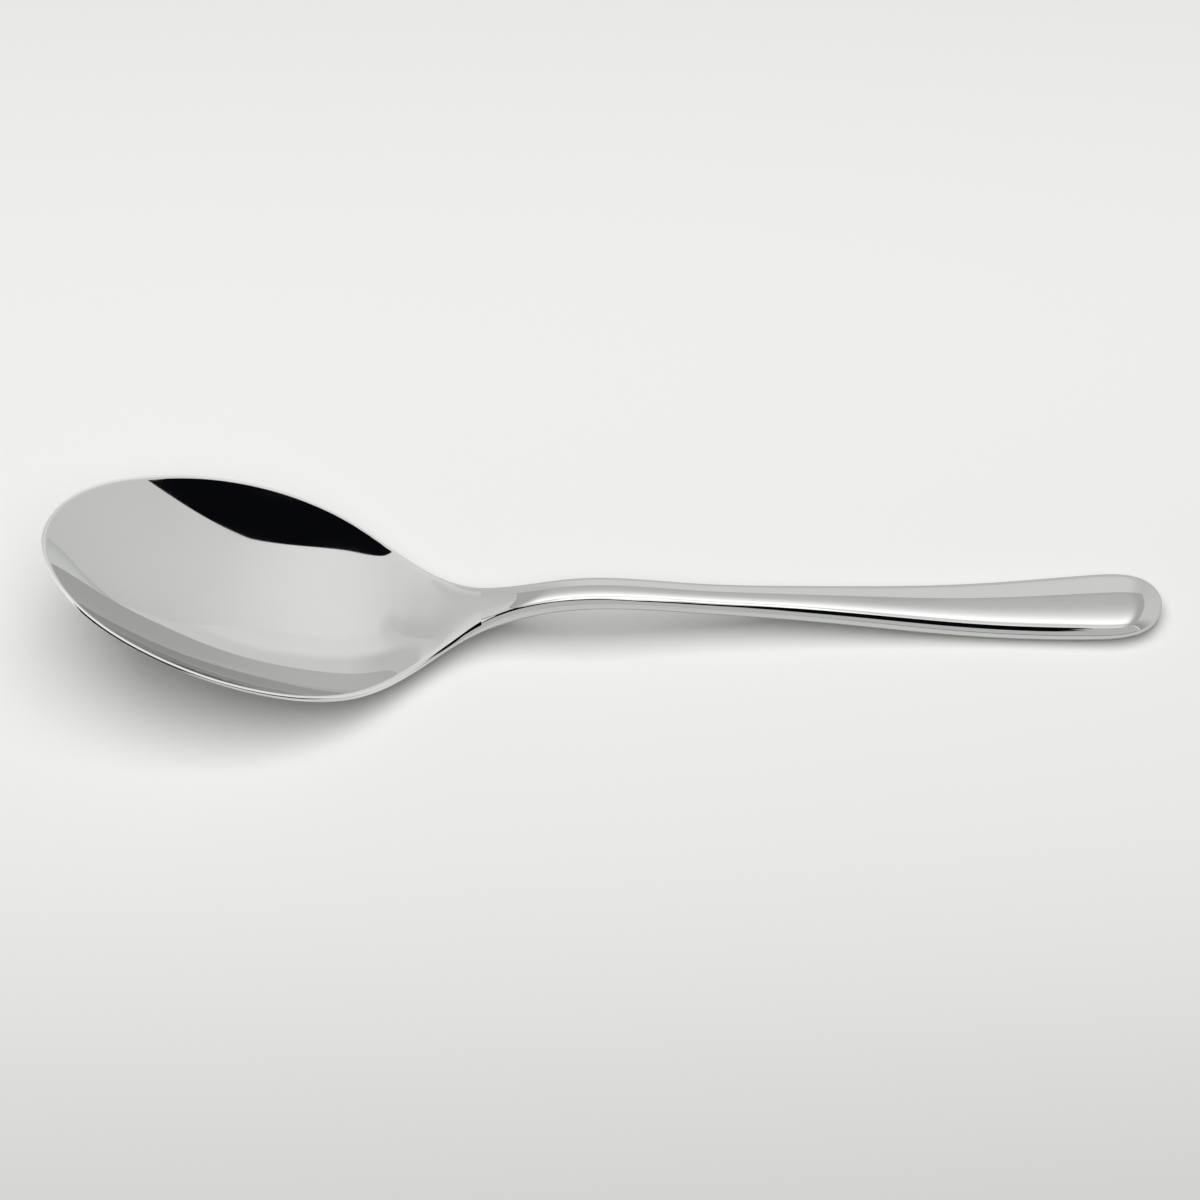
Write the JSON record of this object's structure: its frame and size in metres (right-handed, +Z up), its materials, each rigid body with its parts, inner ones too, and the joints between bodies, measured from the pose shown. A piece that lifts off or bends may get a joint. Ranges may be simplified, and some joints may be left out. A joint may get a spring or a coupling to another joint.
{
  "type": "tablespoon",
  "caption": "Mirror-polished one-piece steel table spoon with an egg-shaped bowl, a slim arched neck and a handle that widens to a rounded end.",
  "frame": {"origin": "on the table the spoon lies on, below the middle of its length", "axes": "+X from the tip of the bowl towards the end of the handle, +Y across the bowl, +Z up, out of the bowl's hollow"},
  "size_m": [0.2, 0.047, 0.0306],
  "materials": {
    "bowl_steel": "mirror-polished stainless steel",
    "neck_steel": "mirror-polished stainless steel",
    "handle_steel": "mirror-polished stainless steel"
  },
  "bodies": {
    "root": {"bowl": "bowl_steel", "neck": "neck_steel", "handle": "handle_steel"}
  },
  "joints": []
}
